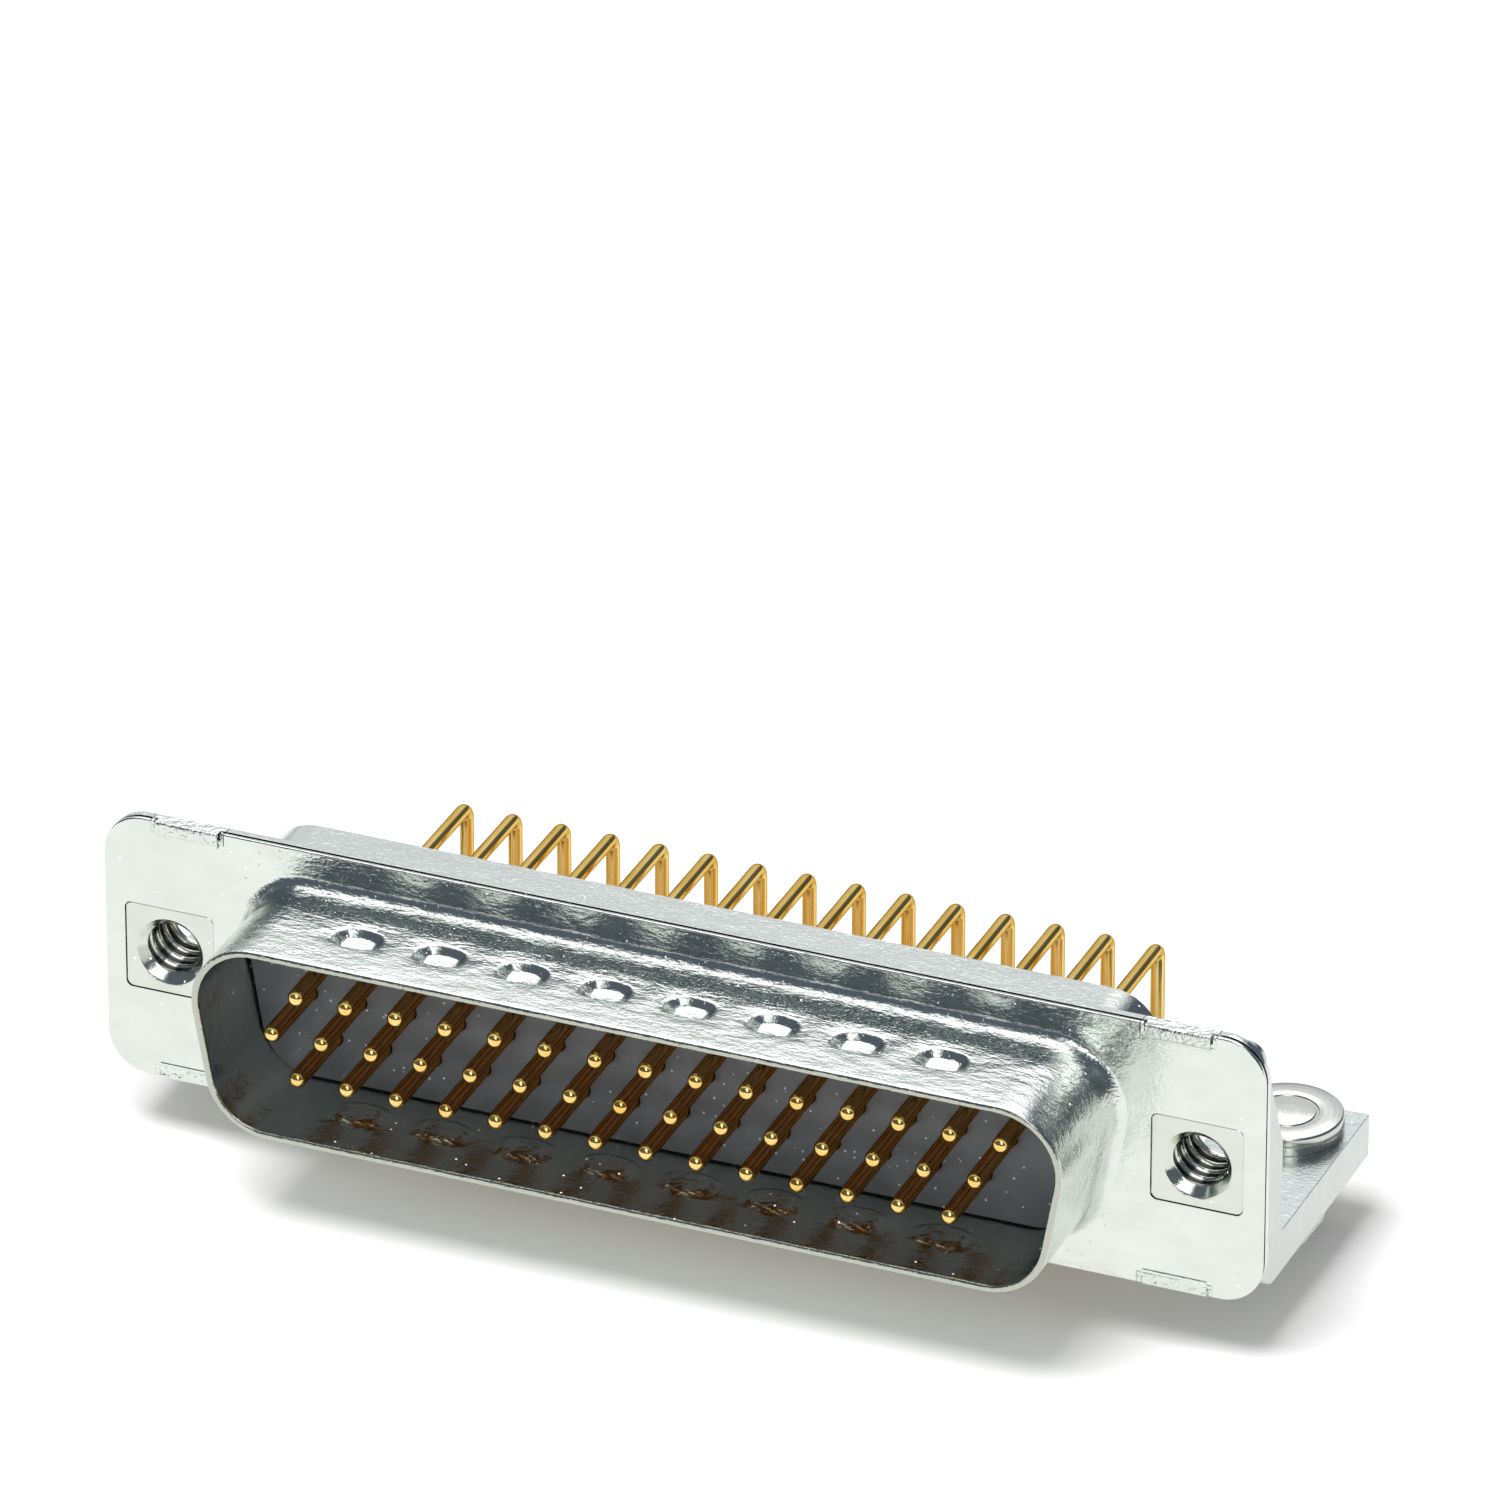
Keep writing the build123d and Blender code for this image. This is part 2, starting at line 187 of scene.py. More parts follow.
def ease(tree, value, start, stop):
    """Smooth change from 0 where value is at start to 1 where it is at stop."""
    node = tree.nodes.new("ShaderNodeMapRange")
    node.interpolation_type = "SMOOTHSTEP"
    node.inputs["From Min"].default_value = start
    node.inputs["From Max"].default_value = stop
    tree.links.new(value, node.inputs["Value"])
    return node.outputs["Result"]


def between(tree, mask, at_zero, at_one):
    """Number that goes from at_zero to at_one with the mask."""
    node = tree.nodes.new("ShaderNodeMapRange")
    node.inputs["To Min"].default_value = at_zero
    node.inputs["To Max"].default_value = at_one
    tree.links.new(mask, node.inputs["Value"])
    return node.outputs["Result"]


def noise(tree, vector, scale, detail, rough, stretch=(1, 1, 1)):
    mapping = tree.nodes.new("ShaderNodeMapping")
    mapping.inputs["Scale"].default_value = stretch
    tree.links.new(vector, mapping.inputs["Vector"])
    texture = tree.nodes.new("ShaderNodeTexNoise")
    texture.inputs["Scale"].default_value = scale
    texture.inputs["Detail"].default_value = detail
    texture.inputs["Roughness"].default_value = rough
    tree.links.new(mapping.outputs["Vector"], texture.inputs["Vector"])
    return texture.outputs["Fac"]


def ramp(tree, value, *stops):
    """Colour by value; each stop is a (position, color) pair."""
    node = tree.nodes.new("ShaderNodeValToRGB")
    elements = node.color_ramp.elements
    while len(elements) < len(stops):
        elements.new(0.5)
    for element, (position, color) in zip(elements, stops):
        element.position = position
        element.color = rgba(color)
    tree.links.new(value, node.inputs["Fac"])
    return node.outputs["Color"]


def mixed(tree, mask, first, second):
    """Colour that goes from first to second with the mask."""
    node = tree.nodes.new("ShaderNodeMix")
    node.data_type = "RGBA"
    tree.links.new(mask, node.inputs["Factor"])
    tree.links.new(first, node.inputs[6])
    node.inputs[7].default_value = rgba(second)
    return node.outputs[2]


def mixed_shader(tree, mask, first, second):
    """Shader that goes from first to second with the mask."""
    node = tree.nodes.new("ShaderNodeMixShader")
    tree.links.new(mask, node.inputs["Fac"])
    tree.links.new(first, node.inputs[1])
    tree.links.new(second, node.inputs[2])
    return node.outputs["Shader"]


def bump(tree, shader, heights):
    """Chain of bumps; heights is a list of (value, distance in mm)."""
    normal = None
    for value, distance in heights:
        node = tree.nodes.new("ShaderNodeBump")
        node.inputs["Strength"].default_value = 1.0
        node.inputs["Distance"].default_value = distance * MM
        tree.links.new(value, node.inputs["Height"])
        if normal is not None:
            tree.links.new(normal, node.inputs["Normal"])
        normal = node.outputs["Normal"]
    tree.links.new(normal, shader.inputs["Normal"])


def specks(tree, vector, scale, radius, share):
    """Mask of sparse round dots; share is the part of the cells that have one."""
    cells = tree.nodes.new("ShaderNodeTexVoronoi")
    cells.inputs["Scale"].default_value = scale
    tree.links.new(vector, cells.inputs["Vector"])
    chance = tree.nodes.new("ShaderNodeSeparateColor")
    tree.links.new(cells.outputs["Color"], chance.inputs["Color"])
    near = ease(tree, cells.outputs["Distance"], radius, radius * 0.5)
    return calc(tree, "MULTIPLY", near, calc(tree, "LESS_THAN", chance.outputs["Red"], share))


def axis_value(tree, place, axis):
    split = tree.nodes.new("ShaderNodeSeparateXYZ")
    tree.links.new(place, split.inputs["Vector"])
    return split.outputs[axis]


def band(tree, value, low, high):
    """1 where value lies between low and high (mm), with soft ends."""
    soft = 0.03
    above = ease(tree, value, (low - soft) * MM, (low + soft) * MM)
    below = ease(tree, value, (high + soft) * MM, (high - soft) * MM)
    return calc(tree, "MULTIPLY", above, below)


def from_screw_line(tree, place, axis, middle):
    """Distance from the nearer screw's line, measured along X and the given axis."""
    beside = calc(tree, "ABSOLUTE", axis_value(tree, place, "X"))
    flat = tree.nodes.new("ShaderNodeCombineXYZ")
    tree.links.new(calc(tree, "SUBTRACT", beside, SIDE * MM), flat.inputs["X"])
    tree.links.new(calc(tree, "SUBTRACT", axis_value(tree, place, axis), middle * MM),
                   flat.inputs["Y"])
    length = tree.nodes.new("ShaderNodeVectorMath")
    length.operation = "LENGTH"
    tree.links.new(flat.outputs["Vector"], length.inputs[0])
    return length.outputs["Value"]


# Places on the part that look different

def cut_edge(tree, place):
    """Mask of the tube's bare sheet edge."""
    return band(tree, axis_value(tree, place, "Y"), LIP - 0.5, LIP + 0.07)


def drawn_zone(tree, place):
    """Mask of the metal that was drawn into the tube, and of the plate round its root."""
    inner, outer = 19.6, 21.4
    beside = calc(tree, "ABSOLUTE", axis_value(tree, place, "X"))
    before = band(tree, axis_value(tree, place, "Y"), LIP - 0.5, FACE + 0.1)
    return calc(tree, "MULTIPLY", ease(tree, beside, outer * MM, inner * MM), before)


def tab_zone(tree, place):
    """Mask of the folded tabs and of the plate's edge at them."""
    inner, outer, fold, rim = 20.9, 24.3, 5.72, 6.6
    beside = calc(tree, "ABSOLUTE", axis_value(tree, place, "X"))
    level = calc(tree, "SUBTRACT", axis_value(tree, place, "Z"), AXIS_HEIGHT * MM)
    edges = band(tree, calc(tree, "ABSOLUTE", level), fold, rim)
    return calc(tree, "MULTIPLY", band(tree, beside, inner, outer), edges)


def thread_groove_shade(tree, place):
    """Mask of painted shade in the grooves of the threads: far from the insert's axis, inside the
    bore.
    """
    far = band(tree, from_screw_line(tree, place, "Z", AXIS_HEIGHT), 1.3, 1.6)
    inside = band(tree, axis_value(tree, place, "Y"), FACE + 0.45, SPLIT + 1.2)
    return calc(tree, "MULTIPLY", far, inside)


def press_marks(tree, place, stretch):
    """Marks of the press: creases, orange peel and scuffs on drawn metal, crumpled tabs."""
    zone = drawn_zone(tree, place)
    creases = noise(tree, place, 1500.0, 3.0, 0.6, stretch)
    orange_peel = noise(tree, place, 5200.0, 4.0, 0.65, stretch)
    scuffs = specks(tree, place, 3100.0, 0.2, 0.35)
    crumples = noise(tree, place, 2600.0, 3.0, 0.6)
    return [
        (calc(tree, "MULTIPLY", creases, zone), 0.06),
        (calc(tree, "MULTIPLY", orange_peel, zone), 0.022),
        (calc(tree, "MULTIPLY", scuffs, zone), 0.014),
        (calc(tree, "MULTIPLY", crumples, tab_zone(tree, place)), 0.16),
    ]


# Materials

def new_material(name):
    material = bpy.data.materials.new(name)
    material.use_nodes = True
    tree = material.node_tree
    tree.nodes.clear()
    out = tree.nodes.new("ShaderNodeOutputMaterial")
    shader = tree.nodes.new("ShaderNodeBsdfPrincipled")
    tree.links.new(shader.outputs["BSDF"], out.inputs["Surface"])
    place = tree.nodes.new("ShaderNodeTexCoord")
    return material, tree, shader, place.outputs["Object"]


def sheet_metal(name, color, rough, waves, stretch=(0.5, 1, 1), shade=None, marks=None):
    """Plated metal: cloudy tint, gentle swell, mottled skin and fine grain (heights in waves, mm),
    dust. The optional shade pair (mask, color) makes one place darker, as the metal's own tone at a
    bare edge and as painted shade in thread grooves, and marks gives further heights."""
    material, tree, shader, place = new_material(name)
    clouds = noise(tree, place, 900.0, 5.0, 0.6, stretch)
    tint = ramp(tree, clouds, (0.3, scaled(color, 0.95)), (0.55, color), (0.75, scaled(color, 1.04)))
    dust = specks(tree, place, 1700.0, 0.11, 0.3)
    tree.links.new(between(tree, dust, 1.0, 0.0), shader.inputs["Metallic"])
    skin = mixed(tree, dust, tint, (0.97, 0.98, 0.97))
    # Darkens one place: the plated shell's bare cut edge in its own darker tone, the insert's thread
    # grooves with painted shade.
    if shade:
        mask, dark = shade
        skin = mixed(tree, mask(tree, place), skin, dark)
    tree.links.new(skin, shader.inputs["Base Color"])
    spots = noise(tree, place, 3500.0, 3.0, 0.5)
    gloss = ramp(tree, spots, (0.3, grey(rough[0])), (0.72, grey(rough[1])))
    tree.links.new(mixed(tree, dust, gloss, grey(0.7)), shader.inputs["Roughness"])
    swell, mottle, grain = waves
    heights = [
        (noise(tree, place, 380.0, 2.0, 0.5, stretch), swell),
        (noise(tree, place, 3400.0, 3.0, 0.6, stretch), mottle),
        (noise(tree, place, 9000.0, 2.0, 0.6, stretch), grain),
    ]
    if marks:
        heights += marks(tree, place, stretch)
    bump(tree, shader, heights)
    return material


def gold(name):
    """Gold with fine drawing lines; the pins' shafts inside the mouth are painted a darker, redder
    gold than tips and tails, as painted shade.
    """
    material, tree, shader, place = new_material(name)
    shader.inputs["Metallic"].default_value = 1.0
    drawn = noise(tree, place, 2400.0, 3.0, 0.5, (1, 0.15, 0.15))
    tint = ramp(tree, drawn, (0.3, (0.86, 0.56, 0.15)), (0.7, (0.97, 0.72, 0.28)))
    # Painted shade: the shafts inside the mouth are painted darker and redder than the tips.
    shaft_shade = band(tree, axis_value(tree, place, "Y"), PIN_TIP + 0.33, SPLIT)
    tree.links.new(mixed(tree, shaft_shade, tint, (0.72, 0.36, 0.13)), shader.inputs["Base Color"])
    shader.inputs["Specular Tint"].default_value = rgba((0.45, 0.33, 0.2))
    rough = ramp(tree, drawn, (0.3, grey(0.07)), (0.75, grey(0.16)))
    tree.links.new(rough, shader.inputs["Roughness"])
    fine = noise(tree, place, 6000.0, 2.0, 0.5, (1, 0.2, 0.2))
    bump(tree, shader, [(fine, 0.003)])
    return material


def moulding(name, color, cloud_color):
    """Black plastic with cloudy tint, uneven gloss, fine grain and light specks."""
    material, tree, shader, place = new_material(name)
    clouds = noise(tree, place, 500.0, 4.0, 0.6)
    dots = specks(tree, place, 2500.0, 0.17, 0.45)
    tint = ramp(tree, clouds, (0.3, color), (0.75, cloud_color))
    tree.links.new(mixed(tree, dots, tint, (0.75, 0.77, 0.8)), shader.inputs["Base Color"])
    spots = noise(tree, place, 2600.0, 3.0, 0.6)
    rough = ramp(tree, spots, (0.3, grey(0.3)), (0.7, grey(0.45)))
    tree.links.new(rough, shader.inputs["Roughness"])
    fine = noise(tree, place, 7000.0, 2.0, 0.6)
    bump(tree, shader, [(fine, 0.008), (dots, 0.01)])
    return material


def turned_metal(name, color):
    """Metal with turning lines round the posts' vertical axes."""
    material, tree, shader, place = new_material(name)
    shader.inputs["Metallic"].default_value = 1.0
    radial = tree.nodes.new("ShaderNodeCombineXYZ")
    tree.links.new(from_screw_line(tree, place, "Y", 0.0), radial.inputs["X"])
    tree.links.new(axis_value(tree, place, "Z"), radial.inputs["Z"])
    lines = noise(tree, radial.outputs["Vector"], 9000.0, 3.0, 0.6)
    clouds = noise(tree, place, 1100.0, 4.0, 0.6)
    tint = ramp(tree, clouds, (0.3, scaled(color, 0.88)), (0.7, color))
    tree.links.new(tint, shader.inputs["Base Color"])
    rough = ramp(tree, lines, (0.3, grey(0.16)), (0.75, grey(0.34)))
    tree.links.new(rough, shader.inputs["Roughness"])
    bump(tree, shader, [(lines, 0.01), (clouds, 0.01)])
    return material


plated_steel = sheet_metal("plated_steel", (0.75, 0.79, 0.74), (0.05, 0.1), (0.03, 0.01, 0.01),
                           shade=(cut_edge, (0.5, 0.52, 0.45)), marks=press_marks)
bracket_steel = sheet_metal("bracket_metal", (0.62, 0.66, 0.64), (0.16, 0.26), (0.02, 0.01, 0.014),
                            stretch=(1, 1, 0.25))
# The insert's thread grooves are painted near black: painted shade in the bore.
insert_steel = sheet_metal("plated_insert", (0.71, 0.74, 0.67), (0.1, 0.18), (0.01, 0.006, 0.005),
                           shade=(thread_groove_shade, (0.05, 0.05, 0.045)))
gold_plate = gold("gold_contact")
black_plastic = moulding("black_insulator", (0.118, 0.133, 0.146), (0.1633, 0.18355, 0.2011))
post_steel = turned_metal("post_metal", (0.72, 0.73, 0.68))


def dress(obj, material, node):
    """Gives a piece its material and its place in the frame."""
    obj.data.materials.clear()
    obj.data.materials.append(material)
    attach(obj, "root")
    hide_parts(node)


# Contacts

# contacts, shift in pitches, level above the axis, place of the tails
ROWS = ((15, 0.25, 1, 2.54), (15, -0.25, 0, 0.0), (14, 0.25, -1, -2.54))
sites = [((place - 7 + shift) * PITCH, AXIS_HEIGHT + level * ROW_SPACING, tail_y)
         for count, shift, level, tail_y in ROWS for place in range(count)]
WIRE_POINTS = 32


def wire_ring(center, upward, radius):
    """Circle round a wire that runs in a plane across X."""
    ring = []
    for i in range(WIRE_POINTS):
        t = 2 * math.pi * i / WIRE_POINTS
        ring.append(center + (Vector((1, 0, 0)) * math.cos(t) + upward * math.sin(t)) * radius)
    return ring


def contact_rings(x, z, tail_y):
    """Rings along a contact: rounded tip, pin, shoulder, thinner tail, bend, foot."""
    pin, tail, tip, bend, end, chamfer = 0.38, 0.31, 0.36, 0.55, -3.2, 0.12
    tip_steps, bend_steps = 9, 10
    up, back = Vector((0, 0, 1)), Vector((0, 1, 0))
    rings = []
    for i in range(tip_steps + 1):
        t = math.pi / 2 * i / tip_steps
        y = PIN_TIP + tip * (1 - math.cos(t))
        rings.append(wire_ring(Vector((x, y, z)), up, pin - tip + tip * math.sin(t)))
    rings.append(wire_ring(Vector((x, SPLIT, z)), up, pin))
    rings.append(wire_ring(Vector((x, SPLIT, z)), up, tail))
    for i in range(bend_steps + 1):
        t = math.pi / 2 * i / bend_steps
        center = Vector((x, tail_y - bend + bend * math.sin(t), z - bend + bend * math.cos(t)))
        rings.append(wire_ring(center, Vector((0, math.sin(t), math.cos(t))), tail))
    rings.append(wire_ring(Vector((x, tail_y, end + chamfer)), back, tail))
    rings.append(wire_ring(Vector((x, tail_y, end)), back, tail - chamfer))
    return rings


for number, site in enumerate(sites, start=1):
    pin_object = grid_object(f"pin_{number:02d}", contact_rings(*site))
    set_sharp(pin_object, 50)
    dress(pin_object, gold_plate, f"contact_{number:02d}")


# Threaded inserts

INSERT_POINTS = 96
HEAD_SIZE = 4.09
HEAD_SHIFT = 0.025
CREST = 1.2
SHALLOW_ROOT, THREAD_DEPTH = 1.22, 0.24
THREAD_PITCH = 0.635
INSERT_BACK = -7.62
ROLLED_END = -8.16


def square_ring(x, y, size, corner):
    """Rounded square, its points spread evenly along its outline from the +X side's middle.
    It sits up and to the right in its window."""
    x, height = x + HEAD_SHIFT, AXIS_HEIGHT + HEAD_SHIFT
    half = size / 2
    straight = size - 2 * corner
    quarter = straight + math.pi / 2 * corner
    ring = []
    for i in range(INSERT_POINTS):
        side, s = divmod(4 * quarter * i / INSERT_POINTS + 1e-9, quarter)
        if s <= straight / 2:
            px, pz = half, s
        elif s <= straight / 2 + math.pi / 2 * corner:
            t = (s - straight / 2) / corner
            px, pz = half - corner + corner * math.cos(t), half - corner + corner * math.sin(t)
        else:
            px, pz = straight / 2 - (s - straight / 2 - math.pi / 2 * corner), half
        c, d = math.cos(side * math.pi / 2), math.sin(side * math.pi / 2)
        ring.append((x + px * c - pz * d, y, height + px * d + pz * c))
    return ring


def bore_ring(x, y, radius):
    return round_ring(x, y, AXIS_HEIGHT, radius, INSERT_POINTS)


def thread_ring(x, y, root):
    """Section of the thread, whose crests and grooves wind along Y."""
    ring = []
    for i in range(INSERT_POINTS):
        turn = i / INSERT_POINTS
        rise = abs((y / THREAD_PITCH - turn) % 1.0 * 2 - 1)
        depth = min(1.0, max(0.0, (rise - 0.12) / 0.76))
        radius = root + (CREST - root) * depth
        t = 2 * math.pi * turn
        ring.append((x + radius * math.cos(t), y, AXIS_HEIGHT + radius * math.sin(t)))
    return ring


def insert_rings(x):
    """Rings over the square head, down the countersink and thread, and back over the rolled end."""
    rings = [
        square_ring(x, FACE + SHEET, HEAD_SIZE, 0.3),
        square_ring(x, FACE + 0.02, HEAD_SIZE, 0.3),
        square_ring(x, FACE, HEAD_SIZE - 0.04, 0.28),
        square_ring(x, FACE, 3.7, 0.25),
        bore_ring(x, FACE, 1.58),
        bore_ring(x, FACE + 0.03, 1.54),
        bore_ring(x, FACE + 0.33, 1.24),
    ]
    start, steps = FACE + 0.36, 80
    run_in, run_out = 0.3, 0.2
    for i in range(steps + 1):
        y = start + (INSERT_BACK - start) * i / steps
        deep = min(1.0, (y - start) / run_in, (INSERT_BACK - y) / run_out + 0.1)
        root = SHALLOW_ROOT + THREAD_DEPTH * deep
        rings.append(thread_ring(x, y, root))
    back = INSERT_BACK + 0.06
    for radius, y in ((1.45, back), (2.0, back), (2.22, INSERT_BACK), (2.36, -7.76), (2.4, -7.95),
                      (2.4, ROLLED_END + 0.04), (2.36, ROLLED_END), (1.9, ROLLED_END),
                      (1.9, FACE + SHEET)):
        rings.append(bore_ring(x, y, radius))
    return rings


for hand, side in (("left", -1), ("right", 1)):
    insert = grid_object(f"screw_insert_{hand}", insert_rings(side * SIDE), ends="joined")
    set_sharp(insert, 38)
    dress(insert, insert_steel, f"threaded_insert_{hand}")


# Board posts

POST_POINTS = 72


def post_rings(x):
    """Rings from the peg's rounded end up over the shank and the grooved head to its middle."""
    middle, peg, collar, shank, head, top = 0.02, 1.0, 1.7, 1.5, 2.45, 2.85
    profile = [
        (middle, PEG_END), (0.5, PEG_END), (0.7, -3.57), (0.88, -3.48), (peg, -3.34),
        (1.06, -3.2), (1.66, -2.26), (collar, -2.14), (collar, -0.03), (collar - 0.02, 0.0),
        (shank, 0.0), (shank, 2.0),
        (head - 0.03, 2.0), (head, 2.03), (head, 2.37), (head - 0.03, 2.4), (2.37, 2.41),
        (2.37, 2.47), (head - 0.03, 2.48), (head, 2.51), (head, 2.72), (head - 0.03, 2.8),
        (2.35, top),
        (1.4, top), (1.37, 2.84), (1.33, 2.78), (1.27, 2.78), (1.23, 2.84), (1.2, top),
        (middle, top),
    ]
    return [[(x + r * math.cos(t), r * math.sin(t), z)
             for t in (2 * math.pi * i / POST_POINTS for i in range(POST_POINTS))]
            for r, z in profile]


for hand, side in (("left", -1), ("right", 1)):
    post = grid_object(f"riveted_post_{hand}", post_rings(side * SIDE))
    set_sharp(post, 40)
    dress(post, post_steel, f"board_post_{hand}")


# Front shell: flange plate of the CAD node, tube drawn anew with soft dimples

KEY = math.radians(10.0)
MOUTH_WIDTH, MOUTH_HEIGHT, MOUTH_CORNER = 38.96, 8.36, 2.6
TUBE_ROOT, ROOT_REACH = 0.6, 1.1
LIP_ROUNDING = 0.1
DIMPLE_Y = LIP + 3.0
DIMPLE_PITCH = 3.8
DIMPLE_REACH = 4 * DIMPLE_PITCH
PLATE_GAP = 0.1
WINDOW_REACH = 2.2
TOP_STEPS, LOW_STEPS, CORNER_STEPS, SIDE_STEPS = 295, 236, 18, 10


def arc(center, radius, start, stop):
    """Points (x, z, outward x, outward z) along an arc."""
    points = []
    for i in range(CORNER_STEPS + 1):
        t = start + (stop - start) * i / CORNER_STEPS
        c, d = math.cos(t), math.sin(t)
        points.append((center[0] + radius * c, center[1] + radius * d, c, d))
    return points


def keyed_outline(grow):
    """D outline, grown from the mouth: (x, z, outward x, outward z) going round."""
    half_width, half_height = MOUTH_WIDTH / 2 + grow, MOUTH_HEIGHT / 2 + grow
    corner = MOUTH_CORNER + grow
    upper = (half_width - corner, half_height - corner)
    # where the slanted side's line meets the lines of the upper and lower walls
    slant_top = upper[0] + corner * (1 + math.sin(KEY)) / math.cos(KEY)
    slant_foot = slant_top - 2 * half_height * math.tan(KEY)
    lower = (slant_foot - corner * math.tan((math.pi / 2 - KEY) / 2), corner - half_height)
    upper_arc = arc(upper, corner, math.pi / 2, -KEY)
    lower_arc = arc(lower, corner, -KEY, -math.pi / 2)
    start, end = upper_arc[-1], lower_arc[0]
    slant = []
    for i in range(1, SIDE_STEPS):
        f = i / SIDE_STEPS
        slant.append((start[0] + (end[0] - start[0]) * f, start[1] + (end[1] - start[1]) * f,
                      math.cos(-KEY), math.sin(-KEY)))
    right = upper_arc + slant + lower_arc
    top_wall = [(-upper[0] + 2 * upper[0] * i / TOP_STEPS, half_height, 0.0, 1.0)
                for i in range(TOP_STEPS)]
    low_wall = [(lower[0] - 2 * lower[0] * i / LOW_STEPS, -half_height, 0.0, -1.0)
                for i in range(1, LOW_STEPS)]
    left = [(-x, z, -c, d) for x, z, c, d in reversed(right)]
    return top_wall + right + low_wall + left[:-1]


def smooth_step(low, high, value):
    t = min(1.0, max(0.0, (value - low) / (high - low)))
    return t * t * (3 - 2 * t)


def hollow(along, back):
    """Depth of a dimple (mm): a steep wall behind, and a floor that falls towards the lip."""
    wide = 1 - smooth_step(0.62, 1.2, abs(along) + 0.12 * max(0.0, back))
    behind = 1 - smooth_step(0.45, 0.82, back + 0.3 * along * along)
    before = smooth_step(-1.0, -0.45, back - 0.2 * along * along)
    fall = 0.33 + 0.09 * smooth_step(-0.9, 0.6, -back)
    sag = 0.04 * (1 - smooth_step(0.5, 1.5, math.hypot(max(0.0, abs(along) - 0.5), back)))
    return fall * wide * behind * before + sag


def dimple(x, y, inside):
    """How far the wall is pressed in at x, y (mm); inside it is a lower, wider, wrinkled bulge."""
    if abs(x) > DIMPLE_REACH or abs(y - DIMPLE_Y) > 2.2:
        return 0.0
    along = (x + DIMPLE_REACH) % DIMPLE_PITCH - DIMPLE_PITCH / 2
    back = y - DIMPLE_Y
    if not inside:
        return hollow(along, back)
    wrinkle = math.sin(9.0 * x + 5.0 * math.sin(7.0 * back)) * math.cos(11.0 * back)
    return hollow(along * 0.8, back * 0.8) * (0.5 + 0.07 * wrinkle)


def tube_rings():
    """Rings (y, offset from the mouth outline) from the flange face over the lip and back in."""
    rings = [(FACE + 0.004, SHEET + TUBE_ROOT + 0.06), (FACE, SHEET + TUBE_ROOT)]
    root_steps, lip_steps, fine_steps = 14, 8, 46
    for i in range(1, root_steps + 1):
        t = math.pi / 2 * i / root_steps
        rings.append((FACE - ROOT_REACH + ROOT_REACH * math.cos(t),
                      SHEET + TUBE_ROOT - TUBE_ROOT * math.sin(t)))
    start, stop = FACE - ROOT_REACH, LIP + LIP_ROUNDING
    near, far = DIMPLE_Y + 1.3, DIMPLE_Y - 1.3
    wall = [start + (near - start) * i / 5 for i in range(1, 5)]
    wall += [near + (far - near) * i / fine_steps for i in range(fine_steps + 1)]
    wall += [far + (stop - far) * i / 8 for i in range(1, 9)]
    rings += [(y, SHEET) for y in wall]
    for i in range(1, lip_steps):
        t = math.pi * i / lip_steps
        rings.append((stop - LIP_ROUNDING * math.sin(t) ** 0.8,
                      SHEET / 2 + SHEET / 2 * math.cos(t) * 0.96))
    rings += [(y, 0.0) for y in reversed(wall)]
    rings += [(start, 0.0), (FACE + SHEET, 0.0)]
    return rings


def tube_points():
    """Points of the tube's rings, with the dimples pressed into the upper and lower wall."""
    made = []
    for y, grow in tube_rings():
        ring = []
        for x, z, out_x, out_z in keyed_outline(grow):
            press = dimple(x, y, grow <= 0.0) if abs(out_z) > 0.999 else 0.0
            ring.append((x - out_x * press, y, AXIS_HEIGHT + z - out_z * press))
        made.append(ring)
    return made


def by_window(edge):
    """Edges of the square windows, which stay sharp round the inserts."""
    middle = (edge.verts[0].co + edge.verts[1].co) / 2 / MM
    across = abs(abs(middle.x) - SIDE)
    return max(across, abs(middle.z - AXIS_HEIGHT)) < WINDOW_REACH


def flange_only(bm):
    """Keeps the plate without its tube, a thin dark line away from the rear shell."""
    gone = [f for f in bm.faces if f.calc_center_median().y < (FACE - TOLERANCE) * MM]
    bmesh.ops.delete(bm, geom=gone, context="FACES")
    for vert in bm.verts:
        if vert.co.y > (FACE + SHEET / 2) * MM:
            vert.co.y = (FACE + SHEET - PLATE_GAP) * MM


front = softened("front_shell", "mouth_plate", 0.07, 3, shape=flange_only, crisp=by_window)
dress(front, plated_steel, "front_shell")
tube = grid_object("mouth_tube", tube_points(), ends="open")
dress(tube, plated_steel, "front_shell")


# Rear shell

def press_tabs(bm):
    """The folded ends of the tabs stand out less from the flange's face, the lower ones least."""
    for vert in bm.verts:
        if vert.co.y < (FACE - TOLERANCE) * MM:
            share = 0.75 if vert.co.z > AXIS_HEIGHT * MM else 0.3
            vert.co.y = FACE * MM + (vert.co.y - FACE * MM) * share


back_shell = softened("rear_shell", "back_shell", 0.06, 3, shape=press_tabs)
dress(back_shell, plated_steel, "rear_shell")


# Insulators

NOSE_BACK = 0.3
CAD_NOSE_GAP, NOSE_GAP = 0.45, 0.1
CONTACT_ZONE = 0.6
# depth behind the CAD node's face and radius
WELL = ((-0.2, 0.92), (0.3, 0.84), (0.37, 0.78), (0.76, 0.74))
WELL_POINTS = 28


